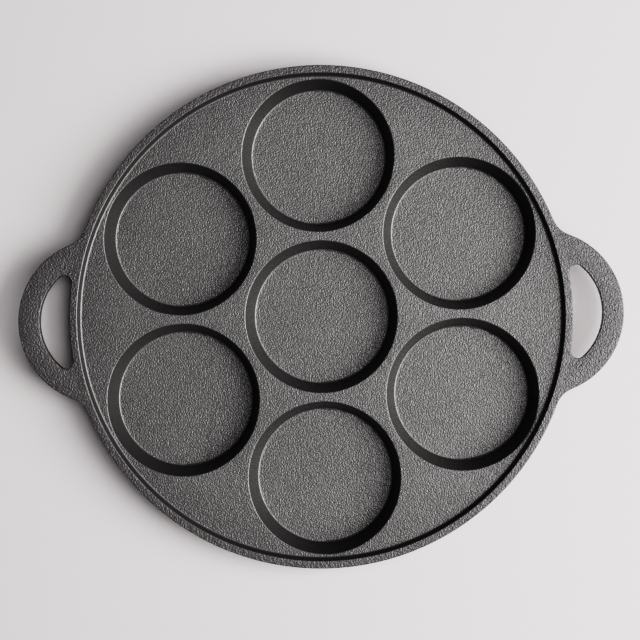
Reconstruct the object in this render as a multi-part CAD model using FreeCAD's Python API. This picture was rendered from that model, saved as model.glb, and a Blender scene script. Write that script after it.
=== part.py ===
"""Egg pancake pan: one iron sand casting with round wells, a raised rim and two loop handles.

Millimetres, +Z up. The origin is on the table under the middle of the pan, and +X runs through
the right-hand handle. The pan stands on the flat feet of its wells, and its highest face is the
top of the rim, which the handles continue. The sizes start at the wells and work outwards: the
ring closes round the middle well, the rim closes round the ring, and the handles grow on the rim.
"""

import FreeCAD, Part

import math
import os

# Wells
RING_WELLS = 6  # round one in the middle
WELL_MOUTH_DIAMETER = 80.0
WELL_FLOOR_DIAMETER = 71.4
WELL_DEPTH = 12.0
WELL_GAP = 4.7  # deck between the mouths of two neighbours
WELL_FLOOR_THICKNESS = 4.0
WELL_WALL_THICKNESS = 4.0
WELL_FLOOR_FILLET = 1.3
WELL_MOUTH_FILLET = 0.7
FOOT_EDGE_FILLET = 3.0  # where a well's outer wall turns into its foot
FOOT_FLARE_FILLET = 2.0  # where that wall meets the underside of the deck

# Rim and deck
DECK_THICKNESS = 4.0
RIM_LAND = 0.35  # flat deck left between a ring well's rounded mouth and the rim's foot
RIM_HEIGHT = 3.0  # rim's top above the deck
RIM_TOP_WIDTH = 4.0  # between the two walls of the rim, at the top
RIM_WALL_LEAN = 29.0  # degrees, the rim's inner wall from upright
RIM_FOOT_FILLET = 1.2
RIM_LIP_FILLET = 0.6

# Loop handles
HANDLE_REACH = 26.7  # from the rim's outer wall to the handle's tip
HANDLE_ARC_RADIUS = 43.3
HANDLE_NECK_FILLET = 13.0
GRIP_WIDTH = 11.3  # bar between the hand hole and the tip
HAND_HOLE_ARC_RADIUS = 31.2
HAND_HOLE_CORNER_RADIUS = 3.8

# Casting
OUTLINE_DRAFT = 4.0  # degrees, the outer walls lean inwards on the way down
TOP_EDGE_FILLET = 0.6
UNDER_EDGE_FILLET = 2.0

# Solids that are joined or cut run on past each other by this much
FLARE_BURIAL = 0.15
CUT_MARGIN = 2.0

# Levels
FLOOR_LEVEL = WELL_FLOOR_THICKNESS
DECK_LEVEL = FLOOR_LEVEL + WELL_DEPTH
UNDERSIDE_LEVEL = DECK_LEVEL - DECK_THICKNESS
RIM_LEVEL = DECK_LEVEL + RIM_HEIGHT

UP = FreeCAD.Vector(0, 0, 1)
CENTRE = FreeCAD.Vector(0, 0, 0)
ALONG_X = FreeCAD.Vector(1, 0, 0)
ALONG_Y = FreeCAD.Vector(0, 1, 0)


def fillet_run(fillet, lean):
    """Flat length that a fillet takes from a level face, at a wall of this lean from upright."""
    return fillet * math.tan((math.pi / 2 - lean) / 2)


# Leans from upright, in radians, and the radii that follow from the sizes above
WELL_LEAN = math.atan((WELL_MOUTH_DIAMETER - WELL_FLOOR_DIAMETER) / 2 / WELL_DEPTH)
RIM_LEAN = math.radians(RIM_WALL_LEAN)
MOUTH_RADIUS = WELL_MOUTH_DIAMETER / 2
WELL_SPACING = WELL_MOUTH_DIAMETER + WELL_GAP
RING_RADIUS = WELL_SPACING * max(1, 0.5 / math.sin(math.pi / RING_WELLS))
DECK_RADIUS = RING_RADIUS + MOUTH_RADIUS + fillet_run(WELL_MOUTH_FILLET, WELL_LEAN) + RIM_LAND
RIM_FOOT_RADIUS = DECK_RADIUS + fillet_run(RIM_FOOT_FILLET, RIM_LEAN)
RIM_LIP_RADIUS = RIM_FOOT_RADIUS + RIM_HEIGHT * math.tan(RIM_LEAN)
PAN_RADIUS = RIM_LIP_RADIUS + RIM_TOP_WIDTH
HANDLE_TIP = PAN_RADIUS + HANDLE_REACH


def polar(centre, radius, angle):
    """Point at an angle, in radians, on a circle round a centre in the plane z = 0."""
    return centre + FreeCAD.Vector(radius * math.cos(angle), radius * math.sin(angle), 0)


def bearing(start, end):
    """Angle in radians of the way from one point to another, from 0 to a full turn."""
    return math.atan2(end.y - start.y, end.x - start.x) % (2 * math.pi)


def arc(centre, radius, start, end):
    """Edge along a circle from one angle to another, clockwise where the end angle is smaller."""
    points = [polar(centre, radius, angle) for angle in (start, (start + end) / 2, end)]
    return Part.Arc(*points).toShape()


def circles_meet(first_radius, spacing, second_radius):
    """Upper point where two circles cross, the first round the origin, the second at x = spacing."""
    x = (first_radius**2 - second_radius**2 + spacing**2) / (2 * spacing)
    return FreeCAD.Vector(x, math.sqrt(first_radius**2 - x**2), 0)


def mirrored(shape, normal):
    """Mirror image of a shape in the plane through the origin with this normal."""
    return shape.mirror(CENTRE, normal)


def closed(edges):
    """Closed wire from edges in any order."""
    return Part.Wire(Part.__sortEdges__(edges))


def rounded_section(corners):
    """Face in the plane y = 0 through (x, z, fillet) corners, each corner rounded by its fillet."""
    points = [FreeCAD.Vector(x, 0, z) for x, z, _ in corners]
    starts = []
    ends = []
    edges = []
    for index, point in enumerate(points):
        fillet = corners[index][2]
        back = (points[index - 1] - point).normalize()
        onward = (points[(index + 1) % len(points)] - point).normalize()
        half = back.getAngle(onward) / 2
        reach = fillet / math.tan(half)
        middle = point + (back + onward).normalize() * (fillet / math.sin(half) - fillet)
        starts.append(point + back * reach)
        ends.append(point + onward * reach)
        if fillet > 0:
            edges.append(Part.Arc(starts[index], middle, ends[index]).toShape())
    for index, end in enumerate(ends):
        edges.append(Part.makeLine(end, starts[(index + 1) % len(points)]))
    return Part.Face(closed(edges))


def turned(corners):
    """Solid of revolution about the z axis of a rounded section."""
    return rounded_section(corners).revolve(CENTRE, UP, 360)


def casting_outline(inset):
    """Outline of the rim and both handles, drawn in by an inset all round."""
    tip_centre = ALONG_X * (HANDLE_TIP - HANDLE_ARC_RADIUS)
    neck_centre = circles_meet(
        PAN_RADIUS + HANDLE_NECK_FILLET, tip_centre.x, HANDLE_ARC_RADIUS + HANDLE_NECK_FILLET
    )
    handle_end = bearing(tip_centre, neck_centre)
    rim_start = bearing(CENTRE, neck_centre)
    quarter = [
        arc(tip_centre, HANDLE_ARC_RADIUS - inset, 0, handle_end),
        arc(neck_centre, HANDLE_NECK_FILLET + inset, handle_end + math.pi, rim_start + math.pi),
        arc(CENTRE, PAN_RADIUS - inset, rim_start, math.pi / 2),
    ]
    upper = quarter + [mirrored(edge, ALONG_X) for edge in quarter]
    return closed(upper + [mirrored(edge, ALONG_Y) for edge in upper])


def hand_hole_outline(inset):
    """Outline of the right-hand hand hole, its walls drawn back by an inset all round."""
    grip_centre = ALONG_X * (HANDLE_TIP - GRIP_WIDTH - HAND_HOLE_ARC_RADIUS)
    corner_centre = circles_meet(
        PAN_RADIUS + HAND_HOLE_CORNER_RADIUS,
        grip_centre.x,
        HAND_HOLE_ARC_RADIUS - HAND_HOLE_CORNER_RADIUS,
    )
    grip_end = bearing(grip_centre, corner_centre)
    rim_start = bearing(CENTRE, corner_centre)
    upper = [
        arc(grip_centre, HAND_HOLE_ARC_RADIUS + inset, 0, grip_end),
        arc(corner_centre, HAND_HOLE_CORNER_RADIUS + inset, grip_end, rim_start + math.pi),
        arc(CENTRE, PAN_RADIUS - inset, rim_start, 0),
    ]
    return closed(upper + [mirrored(edge, ALONG_Y) for edge in upper])


def drafted(outline):
    """Solid between the rim's top and the deck's underside, its walls leaning by the draft."""
    run = math.tan(math.radians(OUTLINE_DRAFT)) * (RIM_LEVEL - UNDERSIDE_LEVEL)
    top = outline(0).translated(UP * RIM_LEVEL)
    bottom = outline(run).translated(UP * UNDERSIDE_LEVEL)
    return Part.makeLoft([bottom, top], True, True)


def edges_at(shape, level):
    """Edges of a shape that lie wholly at one level."""
    return [
        edge
        for edge in shape.Edges
        if abs(edge.BoundBox.ZMin - level) < 1e-4 and abs(edge.BoundBox.ZMax - level) < 1e-4
    ]


def circles_at(shape, level, radius):
    """Circular edges of a shape that have one radius and lie at one level."""
    return [
        edge
        for edge in edges_at(shape, level)
        if isinstance(edge.Curve, Part.Circle) and abs(edge.Curve.Radius - radius) < 1e-4
    ]


def plate():
    """Rim, deck and handles as one slab with its hand holes and rounded edges."""
    hole = drafted(hand_hole_outline)
    slab = drafted(casting_outline).cut([hole, mirrored(hole, ALONG_X)])
    slab = slab.makeFillet(TOP_EDGE_FILLET, edges_at(slab, RIM_LEVEL))
    return slab.makeFillet(UNDER_EDGE_FILLET, edges_at(slab, UNDERSIDE_LEVEL))


def recess_cutter():
    """Room inside the rim, above the deck, with the fillet at the rim's foot."""
    return turned(
        [
            (0, DECK_LEVEL, 0),
            (RIM_FOOT_RADIUS, DECK_LEVEL, RIM_FOOT_FILLET),
            (RIM_LIP_RADIUS + CUT_MARGIN * math.tan(RIM_LEAN), RIM_LEVEL + CUT_MARGIN, 0),
            (0, RIM_LEVEL + CUT_MARGIN, 0),
        ]
    )


def well_cutter():
    """Inside of one well, about the z axis."""
    return turned(
        [
            (0, FLOOR_LEVEL, 0),
            (WELL_FLOOR_DIAMETER / 2, FLOOR_LEVEL, WELL_FLOOR_FILLET),
            (MOUTH_RADIUS + CUT_MARGIN * math.tan(WELL_LEAN), DECK_LEVEL + CUT_MARGIN, 0),
            (0, DECK_LEVEL + CUT_MARGIN, 0),
        ]
    )


def cup():
    """Outside of one well under the deck, about the z axis: foot, leaning wall and flare."""
    wall_run = WELL_WALL_THICKNESS / math.cos(WELL_LEAN)
    foot_radius = WELL_FLOOR_DIAMETER / 2 - FLOOR_LEVEL * math.tan(WELL_LEAN) + wall_run
    flare_level = UNDERSIDE_LEVEL + FLARE_BURIAL
    flare_radius = foot_radius + flare_level * math.tan(WELL_LEAN)
    flare_end = flare_radius + fillet_run(FOOT_FLARE_FILLET, WELL_LEAN) + FLARE_BURIAL
    buried_level = UNDERSIDE_LEVEL + DECK_THICKNESS / 2
    return turned(
        [
            (0, 0, 0),
            (foot_radius, 0, FOOT_EDGE_FILLET),
            (flare_radius, flare_level, FOOT_FLARE_FILLET),
            (flare_end, flare_level, 0),
            (flare_end, buried_level, 0),
            (0, buried_level, 0),
        ]
    )


def at_wells(shape):
    """A copy of a shape at each well: one in the middle and the ring round it."""
    angles = [2 * math.pi * (index + 0.5) / RING_WELLS for index in range(RING_WELLS)]
    return [shape] + [shape.translated(polar(CENTRE, RING_RADIUS, angle)) for angle in angles]


def pan():
    """The whole casting."""
    body = plate().fuse(at_wells(cup())).cut([recess_cutter()] + at_wells(well_cutter()))
    body = body.removeSplitter().Solids[0]
    body = body.makeFillet(RIM_LIP_FILLET, circles_at(body, RIM_LEVEL, RIM_LIP_RADIUS))
    body = body.makeFillet(WELL_MOUTH_FILLET, circles_at(body, DECK_LEVEL, MOUTH_RADIUS))
    return body.Solids[0]


os.makedirs("parts", exist_ok=True)
pan().exportStep("parts/pan.step")
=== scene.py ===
"""Egg pancake pan in seasoned cast iron, seen from straight above on a pale studio floor.

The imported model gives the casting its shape. This script gives it its skin, and sets up the floor,
the lights and the camera. Lengths are in metres, unless a name ends in _mm.
"""

from __future__ import annotations

import logging
import math
from dataclasses import dataclass

import bpy
from mathutils import Euler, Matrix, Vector


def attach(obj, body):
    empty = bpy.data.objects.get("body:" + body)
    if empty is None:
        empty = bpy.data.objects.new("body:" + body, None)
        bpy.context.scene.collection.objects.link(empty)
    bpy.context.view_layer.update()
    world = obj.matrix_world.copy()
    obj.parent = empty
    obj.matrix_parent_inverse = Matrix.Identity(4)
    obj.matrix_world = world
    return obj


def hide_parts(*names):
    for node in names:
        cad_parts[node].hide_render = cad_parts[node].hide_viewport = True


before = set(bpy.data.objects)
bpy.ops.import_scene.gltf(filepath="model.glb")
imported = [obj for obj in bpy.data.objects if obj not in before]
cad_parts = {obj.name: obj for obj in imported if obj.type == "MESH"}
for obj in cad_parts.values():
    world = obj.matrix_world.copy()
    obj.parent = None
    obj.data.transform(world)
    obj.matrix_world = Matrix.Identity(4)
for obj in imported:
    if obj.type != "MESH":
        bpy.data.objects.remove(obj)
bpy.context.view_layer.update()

LOG = logging.getLogger("egg_pancake_pan")
MM = 0.001


def linear(colour: str) -> tuple[float, float, float, float]:
    """Turn an sRGB hex colour into linear light, by the formula of the sRGB standard.

    Args:
        colour: The colour as #rrggbb.

    Returns:
        Red, green, blue and an alpha of one.
    """
    channels = [int(colour[start : start + 2], 16) / 255 for start in (1, 3, 5)]
    light = [c / 12.92 if c <= 0.04045 else ((c + 0.055) / 1.055) ** 2.4 for c in channels]
    return (light[0], light[1], light[2], 1.0)


def add_node(
    tree: bpy.types.NodeTree, kind: str, inputs: dict | None = None, **settings
) -> bpy.types.Node:
    """Add one node to a tree.

    Args:
        tree: The node tree that takes the node.
        kind: Blender's name for the node's type.
        inputs: Socket name or number to a value, or to the output socket that feeds it.
        **settings: Attributes of the node itself.

    Returns:
        The new node.
    """
    node = tree.nodes.new(kind)
    for name, value in settings.items():
        setattr(node, name, value)
    for name, value in (inputs or {}).items():
        if isinstance(value, bpy.types.NodeSocket):
            tree.links.new(value, node.inputs[name])
        else:
            node.inputs[name].default_value = value
    return node


def new_material(name: str) -> tuple[bpy.types.Material, bpy.types.NodeTree]:
    """Make a material whose node tree is still empty.

    Args:
        name: The material's name.

    Returns:
        The material and its node tree.
    """
    material = bpy.data.materials.new(name)
    material.use_nodes = True
    material.node_tree.nodes.clear()
    return material, material.node_tree


@dataclass(frozen=True)
class Finish:
    """How one kind of face looks: its colour, and how metallic and how rough it is."""

    tone: str
    metallic: float
    roughness: float


@dataclass(frozen=True)
class Surface:
    """What the iron's nodes know about each point of the casting."""

    tree: bpy.types.NodeTree
    place: bpy.types.NodeSocket  # Object coordinates
    from_axis: bpy.types.NodeSocket  # distance from the pan's axis
    outside: bpy.types.NodeSocket  # one on the handles and the rim's outer wall, else zero
    level: bpy.types.NodeSocket  # share of level face
    rounded: bpy.types.NodeSocket  # share of rounded edge or level face
    pits: bpy.types.NodeSocket  # one in the middle of a pit, zero around it


@dataclass(frozen=True)
class SeasonedIron:
    """Sand-cast grey iron, seasoned with baked oil.

    The sand mould leaves fine even grains on every level face, and the thin oil film over them
    gives a dull sheen. The steep walls slid off the pattern, so they are smooth; their darker
    tone is painted shade.
    Spatulas and cloths have rubbed the rounded edges and corners until they shine; their lighter
    tone is a painted highlight along every fillet.
    """

    name: str = "sand_cast_seasoned_grey_iron"

    # Baked oil covers most of the iron, so every face is part metal and part matt film
    level: Finish = Finish("#636161", metallic=0.4, roughness=0.42)
    # The walls' darker tone is painted shade, picked by how steep the face is
    wall: Finish = Finish("#4d4b4b", metallic=0.5, roughness=0.35)
    # The edges' lighter tone is a painted highlight; their metallic and roughness are the rubbed
    # shine
    edge: Finish = Finish("#6e6c6c", metallic=0.7, roughness=0.4)

    # Where each kind of face begins and is full, from 0 on a plumb wall to 1 on a flat
    level_from: float = 0.93
    level_to: float = 0.985
    edge_from: float = 0.5
    edge_to: float = 0.65

    # Mould sand is 0.2 to 0.5 mm across, too fine to show in the picture, so it is drawn coarser
    grain_mm: float = 0.69
    grain_depth_mm: float = 0.41
    wall_grain: float = 0.08
    outside_grain: float = 0.6

    # Casting pits are about 0.5 mm across, too fine to show, so they are drawn twice as wide
    pit_spacing_mm: float = 9.0
    pit_radius_mm: float = 0.55
    pit_bottom: float = 0.3
    pit_depth_mm: float = 0.5
    # The pits' darker tone is painted shade in their hollows
    pit_painted_shade: float = 0.5
    pit_chance: float = 0.3

    # The oil pooled a little in patches as wide as a thumb, drawn at their real size
    mottle_mm: float = 28.0
    mottle_detail: float = 3.0
    mottle_thin: float = 0.3
    mottle_thick: float = 0.7
    mottle: float = 0.04

    # Painted shade: the iron gets darker from this radius out to the rim, and on the handles
    darker_from_mm: float = 105.0
    outer_painted_shade: float = 0.79

    # The rim's top is a little lower on its outside, seen as the ring between these radii
    rim_starts_mm: float = 127.6
    rim_ends_mm: float = 131.9
    rim_crown_mm: float = 0.12
    outside_margin_mm: float = 0.4

    # The grips are a little lower along both sides of the bar, which is an arc round this centre
    grip_centre_mm: float = 115.5
    grip_radius_mm: float = 37.4
    half_grip_mm: float = 5.65
    grip_crown_mm: float = 0.25
    grip_starts_beyond_mm: float = 0.3

    def material(self) -> bpy.types.Material:
        """Build the material.

        Returns:
            The material, ready for a slot.
        """
        material, tree = new_material(self.name)
        surface = self._survey(tree)
        skin = add_node(
            tree,
            "ShaderNodeBsdfPrincipled",
            {
                "Base Color": self._tone(surface),
                "Metallic": self._blend(surface, "metallic"),
                "Roughness": self._blend(surface, "roughness"),
                "Normal": self._relief(surface),
            },
        )
        add_node(tree, "ShaderNodeOutputMaterial", {"Surface": skin.outputs["BSDF"]})
        return material

    def _survey(self, tree: bpy.types.NodeTree) -> Surface:
        """Find out where each point lies and what kind of face it is on.

        Args:
            tree: The material's nodes.

        Returns:
            The sockets that the rest of the material reads.
        """
        coordinates = add_node(tree, "ShaderNodeTexCoord")
        place = coordinates.outputs["Object"]
        normal = add_node(tree, "ShaderNodeSeparateXYZ", {0: coordinates.outputs["Normal"]})
        levelness = add_node(
            tree, "ShaderNodeMath", {0: normal.outputs["Z"]}, operation="ABSOLUTE"
        )
        from_axis = self._distance(tree, place)
        outside = add_node(
            tree,
            "ShaderNodeMath",
            {0: from_axis, 1: (self.rim_ends_mm - self.outside_margin_mm) * MM},
            operation="GREATER_THAN",
        )
        return Surface(
            tree=tree,
            place=place,
            from_axis=from_axis,
            outside=outside.outputs[0],
            level=self._zone(tree, levelness.outputs[0], self.level_from, self.level_to),
            rounded=self._zone(tree, levelness.outputs[0], self.edge_from, self.edge_to),
            pits=self._pits(tree, place, outside.outputs[0]),
        )

    def _distance(
        self, tree: bpy.types.NodeTree, place: bpy.types.NodeSocket, centre: float = 0.0
    ) -> bpy.types.NodeSocket:
        """Measure how far a point lies from the pan's axis, or from a grip's, seen from above.

        Args:
            tree: The material's nodes.
            place: The point.
            centre: Distance of the axis from the middle of the pan, along the handles.

        Returns:
            The distance in metres.
        """
        folded = add_node(tree, "ShaderNodeVectorMath", {0: place}, operation="ABSOLUTE")
        shifted = add_node(
            tree,
            "ShaderNodeVectorMath",
            {0: folded.outputs[0], 1: (centre, 0.0, 0.0)},
            operation="SUBTRACT",
        )
        flat = add_node(
            tree,
            "ShaderNodeVectorMath",
            {0: shifted.outputs[0], 1: (1.0, 1.0, 0.0)},
            operation="MULTIPLY",
        )
        length = add_node(tree, "ShaderNodeVectorMath", {0: flat.outputs[0]}, operation="LENGTH")
        return length.outputs["Value"]

    def _zone(
        self, tree: bpy.types.NodeTree, levelness: bpy.types.NodeSocket, start: float, end: float
    ) -> bpy.types.NodeSocket:
        """Mark the faces that lie flatter than a given slope.

        Args:
            tree: The material's nodes.
            levelness: How level the face lies, from 0 on a plumb wall to 1 on a flat.
            start: Levelness at which the zone begins.
            end: Levelness from which the zone is full.

        Returns:
            A share from 0 to 1.
        """
        zone = add_node(
            tree,
            "ShaderNodeMapRange",
            {"Value": levelness, "From Min": start, "From Max": end},
            interpolation_type="SMOOTHSTEP",
        )
        return zone.outputs["Result"]

    def _pits(
        self,
        tree: bpy.types.NodeTree,
        place: bpy.types.NodeSocket,
        outside: bpy.types.NodeSocket,
    ) -> bpy.types.NodeSocket:
        """Scatter the few small pits that the mould left in the handles.

        Args:
            tree: The material's nodes.
            place: The point.
            outside: One on the handles, zero within the rim.

        Returns:
            One in the middle of a pit and zero around it.
        """
        cells = add_node(
            tree,
            "ShaderNodeTexVoronoi",
            {"Vector": place, "Scale": 1 / (self.pit_spacing_mm * MM)},
            voronoi_dimensions="2D",
        )
        radius = self.pit_radius_mm / self.pit_spacing_mm
        bowl = add_node(
            tree,
            "ShaderNodeMapRange",
            {
                "Value": cells.outputs["Distance"],
                "From Min": radius,
                "From Max": radius * self.pit_bottom,
            },
            interpolation_type="SMOOTHSTEP",
        )
        chance = add_node(tree, "ShaderNodeSeparateColor", {0: cells.outputs["Color"]})
        chosen = add_node(
            tree,
            "ShaderNodeMath",
            {0: chance.outputs[0], 1: self.pit_chance},
            operation="LESS_THAN",
        )
        some = add_node(
            tree,
            "ShaderNodeMath",
            {0: bowl.outputs["Result"], 1: chosen.outputs[0]},
            operation="MULTIPLY",
        )
        pits = add_node(
            tree, "ShaderNodeMath", {0: some.outputs[0], 1: outside}, operation="MULTIPLY"
        )
        return pits.outputs[0]

    def _blend(self, surface: Surface, quality: str) -> bpy.types.NodeSocket:
        """Blend a number from the walls over the rounded edges to the level faces.

        Args:
            surface: What is known about the point.
            quality: The name of the number in each finish.

        Returns:
            The blended number.
        """
        steep = add_node(
            surface.tree,
            "ShaderNodeMapRange",
            {
                "Value": surface.rounded,
                "To Min": getattr(self.wall, quality),
                "To Max": getattr(self.edge, quality),
            },
        )
        blend = add_node(
            surface.tree,
            "ShaderNodeMapRange",
            {
                "Value": surface.level,
                "To Min": steep.outputs["Result"],
                "To Max": getattr(self.level, quality),
            },
        )
        return blend.outputs["Result"]

    def _tone(self, surface: Surface) -> bpy.types.NodeSocket:
        """Colour the faces, with painted shade on the walls, towards the outside and in the pits,
        and a painted highlight on the rounded edges, under an oil film that is a little uneven.

        Args:
            surface: What is known about the point.

        Returns:
            The base colour.
        """
        tree = surface.tree
        # Darker walls are painted shade, lighter rounded edges a painted highlight
        steep = add_node(
            tree,
            "ShaderNodeMix",
            {"Factor": surface.rounded, 6: linear(self.wall.tone), 7: linear(self.edge.tone)},
            data_type="RGBA",
        )
        faces = add_node(
            tree,
            "ShaderNodeMix",
            {"Factor": surface.level, 6: steep.outputs[2], 7: linear(self.level.tone)},
            data_type="RGBA",
        )
        film = add_node(
            tree,
            "ShaderNodeTexNoise",
            {
                "Vector": surface.place,
                "Scale": 1 / (self.mottle_mm * MM),
                "Detail": self.mottle_detail,
            },
        )
        patches = add_node(
            tree,
            "ShaderNodeMapRange",
            {
                "Value": film.outputs["Fac"],
                "From Min": self.mottle_thin,
                "From Max": self.mottle_thick,
                "To Min": 1.0 - self.mottle,
                "To Max": 1.0 + self.mottle,
            },
        )
        # Painted shade, darker towards the rim and on the handles
        painted_shade_outwards = add_node(
            tree,
            "ShaderNodeMapRange",
            {
                "Value": surface.from_axis,
                "From Min": self.darker_from_mm * MM,
                "From Max": self.rim_ends_mm * MM,
                "To Min": 1.0,
                "To Max": self.outer_painted_shade,
            },
        )
        # Painted shade in the pits
        painted_shade_in_pits = add_node(
            tree,
            "ShaderNodeMapRange",
            {"Value": surface.pits, "To Min": 1.0, "To Max": self.pit_painted_shade},
        )
        shade = patches.outputs["Result"]
        for darker in (painted_shade_outwards, painted_shade_in_pits):
            product = add_node(
                tree,
                "ShaderNodeMath",
                {0: shade, 1: darker.outputs["Result"]},
                operation="MULTIPLY",
            )
            shade = product.outputs[0]
        oiled = add_node(
            tree, "ShaderNodeVectorMath", {0: faces.outputs[2], "Scale": shade}, operation="SCALE"
        )
        return oiled.outputs[0]

    def _relief(self, surface: Surface) -> bpy.types.NodeSocket:
        """Lay the sand grains and the pits over the crowned tops.

        The grains are full on level faces, and hardly there on the walls and edges inside the rim.

        Args:
            surface: What is known about the point.

        Returns:
            The surface's normal.
        """
        tree = surface.tree
        sand = add_node(
            tree,
            "ShaderNodeTexNoise",
            {"Vector": surface.place, "Scale": 1 / (self.grain_mm * MM), "Detail": 0.0},
        )
        steep = add_node(
            tree,
            "ShaderNodeMapRange",
            {"Value": surface.outside, "To Min": self.wall_grain, "To Max": self.outside_grain},
        )
        strength = add_node(
            tree,
            "ShaderNodeMapRange",
            {"Value": surface.level, "To Min": steep.outputs["Result"], "To Max": 1.0},
        )
        sandy = add_node(
            tree,
            "ShaderNodeBump",
            {
                "Height": sand.outputs["Fac"],
                "Distance": self.grain_depth_mm * MM,
                "Strength": strength.outputs["Result"],
                "Normal": self._crowns(surface),
            },
        )
        pitted = add_node(
            tree,
            "ShaderNodeBump",
            {
                "Height": surface.pits,
                "Distance": self.pit_depth_mm * MM,
                "Normal": sandy.outputs["Normal"],
            },
            invert=True,
        )
        return pitted.outputs["Normal"]

    def _crowns(self, surface: Surface) -> bpy.types.NodeSocket:
        """Round the top of the rim towards the outside, and the top of the grips to both sides.

        Args:
            surface: What is known about the point.

        Returns:
            The surface's normal.
        """
        tree = surface.tree
        across_rim = add_node(
            tree,
            "ShaderNodeMapRange",
            {
                "Value": surface.from_axis,
                "From Min": self.rim_starts_mm * MM,
                "From Max": self.rim_ends_mm * MM,
            },
        )
        across_grip = add_node(
            tree,
            "ShaderNodeMapRange",
            {
                "Value": self._distance(tree, surface.place, self.grip_centre_mm * MM),
                "From Min": (self.grip_radius_mm - self.half_grip_mm) * MM,
                "From Max": (self.grip_radius_mm + self.half_grip_mm) * MM,
                "To Min": -1.0,
                "To Max": 1.0,
            },
        )
        on_grip = add_node(
            tree,
            "ShaderNodeMath",
            {0: surface.from_axis, 1: (self.rim_ends_mm + self.grip_starts_beyond_mm) * MM},
            operation="GREATER_THAN",
        )
        rim = self._crown(tree, across_rim, {"Distance": self.rim_crown_mm * MM})
        return self._crown(
            tree,
            across_grip,
            {
                "Distance": self.grip_crown_mm * MM,
                "Strength": on_grip.outputs[0],
                "Normal": rim,
            },
        )

    def _crown(
        self, tree: bpy.types.NodeTree, across: bpy.types.Node, inputs: dict
    ) -> bpy.types.NodeSocket:
        """Let a top face fall away with the square of the way across it.

        Args:
            tree: The material's nodes.
            across: The node that says how far across the face the point lies.
            inputs: The fall in metres, and where given its strength and the normal below it.

        Returns:
            The surface's normal.
        """
        fall = add_node(
            tree,
            "ShaderNodeMath",
            {0: across.outputs["Result"], 1: across.outputs["Result"]},
            operation="MULTIPLY",
        )
        crown = add_node(tree, "ShaderNodeBump", {"Height": fall.outputs[0], **inputs}, invert=True)
        return crown.outputs["Normal"]


@dataclass(frozen=True)
class StudioFloor:
    """Uncoated studio paper: pale and quite matt, so it shows the soft shadow and no gloss."""

    name: str = "matt_pale_paper"
    paper: str = "#e4dedf"
    roughness: float = 0.9
    reach: float = 6.0
    corners: int = 96

    def build(self) -> bpy.types.Object:
        """Lay the floor under the pan.

        Returns:
            The floor.
        """
        bpy.ops.object.select_all(action="DESELECT")
        bpy.ops.mesh.primitive_circle_add(
            vertices=self.corners, radius=self.reach, fill_type="NGON"
        )
        floor = bpy.context.active_object
        floor.name = "studio_floor"
        material, tree = new_material(self.name)
        paper = add_node(
            tree,
            "ShaderNodeBsdfPrincipled",
            {"Base Color": linear(self.paper), "Roughness": self.roughness},
        )
        add_node(tree, "ShaderNodeOutputMaterial", {"Surface": paper.outputs["BSDF"]})
        floor.data.materials.append(material)
        return floor


@dataclass(frozen=True)
class SoftBox:
    """A square area light that points at the middle of the pan."""

    name: str
    place: tuple[float, float, float]
    side: float
    watts: float
    tone: str = "#ffffff"

    def build(self) -> bpy.types.Object:
        """Hang the light.

        Returns:
            The light's object.
        """
        light = bpy.data.lights.new(self.name, "AREA")
        light.shape = "SQUARE"
        light.size = self.side
        light.energy = self.watts
        light.color = linear(self.tone)[:3]
        lamp = bpy.data.objects.new(self.name, light)
        lamp.location = self.place
        lamp.rotation_euler = (-Vector(self.place)).to_track_quat("-Z", "Y").to_euler()
        lamp.visible_camera = False
        bpy.context.scene.collection.objects.link(lamp)
        return lamp


@dataclass(frozen=True)
class Room:
    """The pale room around the table, which fills the shadows a little."""

    tone: str = "#ffffff"
    strength: float = 0.072

    def build(self) -> None:
        """Give the scene its even surroundings."""
        world = bpy.data.worlds.new("pale_room")
        world.use_nodes = True
        world.node_tree.nodes.clear()
        glow = add_node(
            world.node_tree,
            "ShaderNodeBackground",
            {"Color": linear(self.tone), "Strength": self.strength},
        )
        add_node(world.node_tree, "ShaderNodeOutputWorld", {"Surface": glow.outputs["Background"]})
        bpy.context.scene.world = world


@dataclass(frozen=True)
class OverheadCamera:
    """The camera above the pan, looking straight down and turned a little, as in the photograph.

    It hangs a little to the right of the pan's middle and towards its back, as the walls of the
    wells show. The lens is shifted back by as much, so that the pan stays in the middle of the
    picture. frame_width is what the picture takes in at the height frame_level.
    """

    height: float = 0.765
    frame_width: float = 0.33609
    frame_level: float = 0.016
    roll_degrees: float = -1.2
    pan_offset: tuple[float, float] = (0.00066, 0.00174)
    sideways: tuple[float, float] = (0.025, 0.019)
    sensor: float = 36.0

    def build(self) -> bpy.types.Object:
        """Hang the camera and make it the scene's own.

        Returns:
            The camera's object.
        """
        turn = Euler((0.0, 0.0, math.radians(self.roll_degrees)))
        offset = Vector((*self.pan_offset, 0.0)) - Vector((*self.sideways, 0.0))
        offset.rotate(turn)
        lens = bpy.data.cameras.new("overhead_camera")
        lens.sensor_width = self.sensor
        lens.lens = self.sensor * (self.height - self.frame_level) / self.frame_width
        lens.shift_x = -self.sideways[0] / self.frame_width
        lens.shift_y = -self.sideways[1] / self.frame_width
        camera = bpy.data.objects.new("overhead_camera", lens)
        camera.location = Vector((0.0, 0.0, self.height)) - offset
        camera.rotation_euler = turn
        bpy.context.scene.collection.objects.link(camera)
        bpy.context.scene.camera = camera
        return camera


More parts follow.
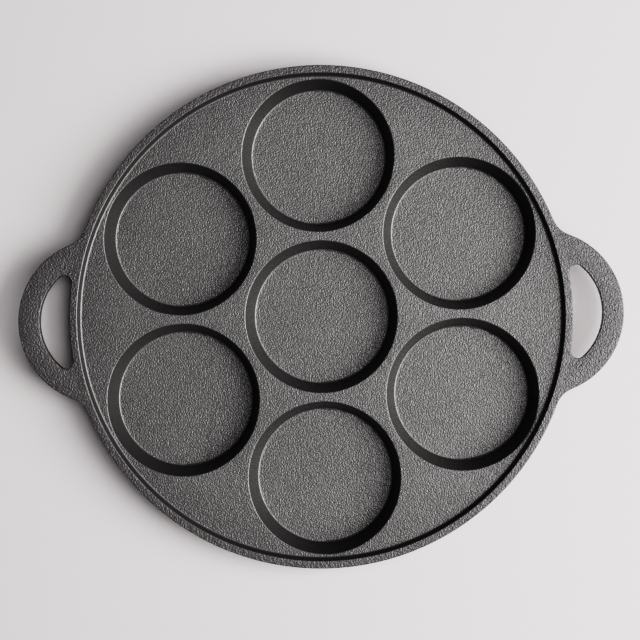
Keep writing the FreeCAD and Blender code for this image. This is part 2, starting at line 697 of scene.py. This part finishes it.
@dataclass(frozen=True)
class Casting:
    """The pan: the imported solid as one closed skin, smoothed so that its fillets shade evenly."""

    finish: SeasonedIron
    name: str = "pan_casting"
    node: str = "pan"
    body: str = "root"
    slot: str = "cast_iron"
    merge_mm: float = 0.001
    crease_degrees: float = 75.0

    def build(self) -> bpy.types.Object:
        """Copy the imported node, merge its loose triangles and smooth it.

        Returns:
            The casting, which stands for the node.
        """
        casting = self._copy_of_node()
        self._merge(casting)
        self._smooth(casting)
        casting.data.materials.clear()
        casting.data.materials.append(self.finish.material())
        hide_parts(self.node)
        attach(casting, self.body)
        return casting

    def _copy_of_node(self) -> bpy.types.Object:
        """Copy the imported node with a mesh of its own.

        Returns:
            The copy, selected and free of the frame's marks.
        """
        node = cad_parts[self.node]
        bpy.ops.object.select_all(action="DESELECT")
        node.select_set(True)
        bpy.context.view_layer.objects.active = node
        bpy.ops.object.duplicate(linked=False)
        casting = bpy.context.active_object
        casting.name = self.name
        casting.data.name = self.name
        for mark in [key for key in casting.keys() if key.startswith("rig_")]:
            del casting[mark]
        return casting

    def _merge(self, casting: bpy.types.Object) -> None:
        """Close the seams between the triangles, so that the skin is one closed shell.

        Args:
            casting: The copy, which is the active object.
        """
        bpy.ops.mesh.customdata_custom_splitnormals_clear()
        bpy.ops.object.mode_set(mode="EDIT")
        bpy.ops.mesh.select_all(action="SELECT")
        bpy.ops.mesh.remove_doubles(threshold=self.merge_mm * MM)
        bpy.ops.object.mode_set(mode="OBJECT")
        LOG.info("merged %s to %d points", casting.name, len(casting.data.vertices))

    def _smooth(self, casting: bpy.types.Object) -> None:
        """Shade the fillets round and keep the flats flat.

        Args:
            casting: The copy, which is the active object.
        """
        bpy.ops.object.shade_smooth_by_angle(angle=math.radians(self.crease_degrees))
        even = casting.modifiers.new("even_normals", "WEIGHTED_NORMAL")
        even.mode = "FACE_AREA"
        even.keep_sharp = True
        bpy.ops.object.modifier_apply(modifier=even.name)


@dataclass(frozen=True)
class FilmCurve:
    """The tone curve, which gives deep shadows and a bright ground, as in the photograph."""

    view: str = "Filmic"
    look: str = "Very High Contrast"

    def load(self) -> None:
        """Use this curve for the scene."""
        settings = bpy.context.scene.view_settings
        settings.view_transform = self.view
        settings.look = self.look


LIGHTS = (
    SoftBox(name="key_soft_box", place=(1.17, -0.165, 0.924), side=0.975, watts=28.8),
    SoftBox(name="top_soft_box", place=(0.418, 0.152, 1.222), side=0.65, watts=4.6),
    SoftBox(name="front_soft_box", place=(0.345, -0.289, 0.779), side=0.45, watts=1.1),
)


def main() -> None:
    """Dress the pan and build the studio round it."""
    logging.basicConfig(level=logging.INFO, format="%(name)s: %(message)s")
    FilmCurve().load()
    casting = Casting(SeasonedIron()).build()
    LOG.info("built %s", casting.name)
    floor = StudioFloor().build()
    LOG.info("laid %s", floor.name)
    Room().build()
    for light in LIGHTS:
        lamp = light.build()
        LOG.info("hung %s", lamp.name)
    camera = OverheadCamera().build()
    LOG.info("hung %s", camera.name)


if __name__ == "__main__":
    main()
